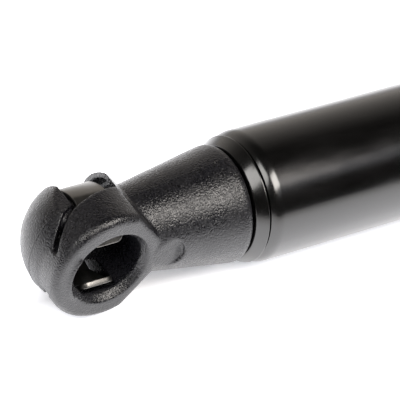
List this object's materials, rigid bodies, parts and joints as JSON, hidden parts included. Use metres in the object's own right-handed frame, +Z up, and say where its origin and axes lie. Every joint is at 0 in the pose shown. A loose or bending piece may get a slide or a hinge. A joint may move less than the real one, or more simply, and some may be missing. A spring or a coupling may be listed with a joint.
{
  "type": "gas strut stay",
  "caption": "Gas strut with a black painted tube, a polished sliding rod and moulded ball sockets held by spring-steel safety clips at both ends.",
  "frame": {"origin": "ball centre of the base socket, at the tube's closed end", "axes": "+X along the strut towards the rod socket, -Y out of both socket mouths, +Z up"},
  "size_m": [0.3028, 0.0186, 0.0186],
  "materials": {
    "black_paint": "black gloss paint on drawn steel",
    "socket_nylon": "finely grained glass-filled nylon",
    "spring_steel": "dark tempered spring steel, satin",
    "plain_steel": "turned steel",
    "rod_chrome": "ground and hard chromed",
    "bronze": "sintered bronze",
    "sintered_steel": "pressed and sintered",
    "filled_ptfe": "bronze-filled, smooth",
    "guide_nylon": "moulded",
    "rubber": "moulded nitrile rubber",
    "urethane": "moulded urethane"
  },
  "bodies": {
    "cylinder": {"cylinder_tube": "black_paint", "end_plug": "black_paint", "base_stud": "plain_steel", "base_socket": "socket_nylon", "stop_washer": "plain_steel", "rod_seal": "rubber", "backing_ring": "plain_steel", "rod_guide": "guide_nylon", "guide_bush": "bronze", "guide_o_ring": "rubber", "wiper_ring": "urethane", "end_washer": "plain_steel"},
    "sliding_ring": {"piston_ring": "filled_ptfe"},
    "rod": {"piston_rod": "rod_chrome", "front_washer": "plain_steel", "piston": "sintered_steel", "orifice_disc": "plain_steel", "piston_nut": "plain_steel", "rod_socket": "socket_nylon"},
    "base_strap": {"base_clip": "spring_steel"},
    "rod_strap": {"rod_clip": "spring_steel"}
  },
  "joints": [
    {"name": "rod_slide", "type": "slide", "parent": "cylinder", "child": "sliding_ring", "axis": [-1, 0, 0], "range_m": [0, 0.1], "stiffness_N_per_m": 40, "springref_m": -0.25},
    {"name": "rod_turn", "type": "hinge", "parent": "sliding_ring", "child": "rod", "pos_m": [0.137, 0, 0], "axis": [1, 0, 0], "continuous": true},
    {"name": "base_clip_lift", "type": "slide", "parent": "cylinder", "child": "base_strap", "axis": [0, 1, 0], "range_m": [0, 0.0025], "stiffness_N_per_m": 800},
    {"name": "rod_clip_lift", "type": "slide", "parent": "rod", "child": "rod_strap", "axis": [0, 1, 0], "range_m": [0, 0.0025], "stiffness_N_per_m": 800}
  ]
}
